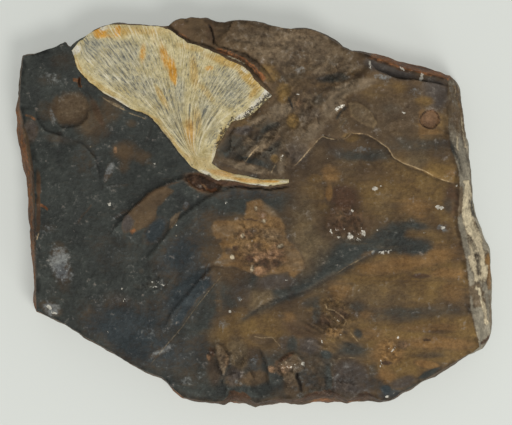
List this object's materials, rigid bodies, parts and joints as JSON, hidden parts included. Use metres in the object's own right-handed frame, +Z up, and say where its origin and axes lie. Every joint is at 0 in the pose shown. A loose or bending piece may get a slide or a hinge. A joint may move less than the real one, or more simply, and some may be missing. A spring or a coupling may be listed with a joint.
{
  "type": "fossil ginkgo leaf plate",
  "caption": "Broken hand-sized mudstone slab with ledges and a bevelled right side; a thin fan-shaped ginkgo leaf with its petiole lies in the top face. Rests on its flat underside.",
  "frame": {"origin": "middle of the slab's length and width, on its flat underside", "axes": "+X along the slab's length, away from the orange left wall and towards the bevelled right side; +Y towards the edge that the leaf reaches; +Z up out of the fossil face"},
  "size_m": [0.1602, 0.1307, 0.0202],
  "materials": {
    "mudstone": "dull iron-stained mudstone, slate grey to ochre brown, slightly sheeny on the bedding plane",
    "leaf_mineral": "chalky cream mineral film with fine forked veins, ochre at the margins"
  },
  "bodies": {
    "root": {"mudstone_slab": "mudstone", "ginkgo_leaf": "leaf_mineral"}
  },
  "joints": []
}
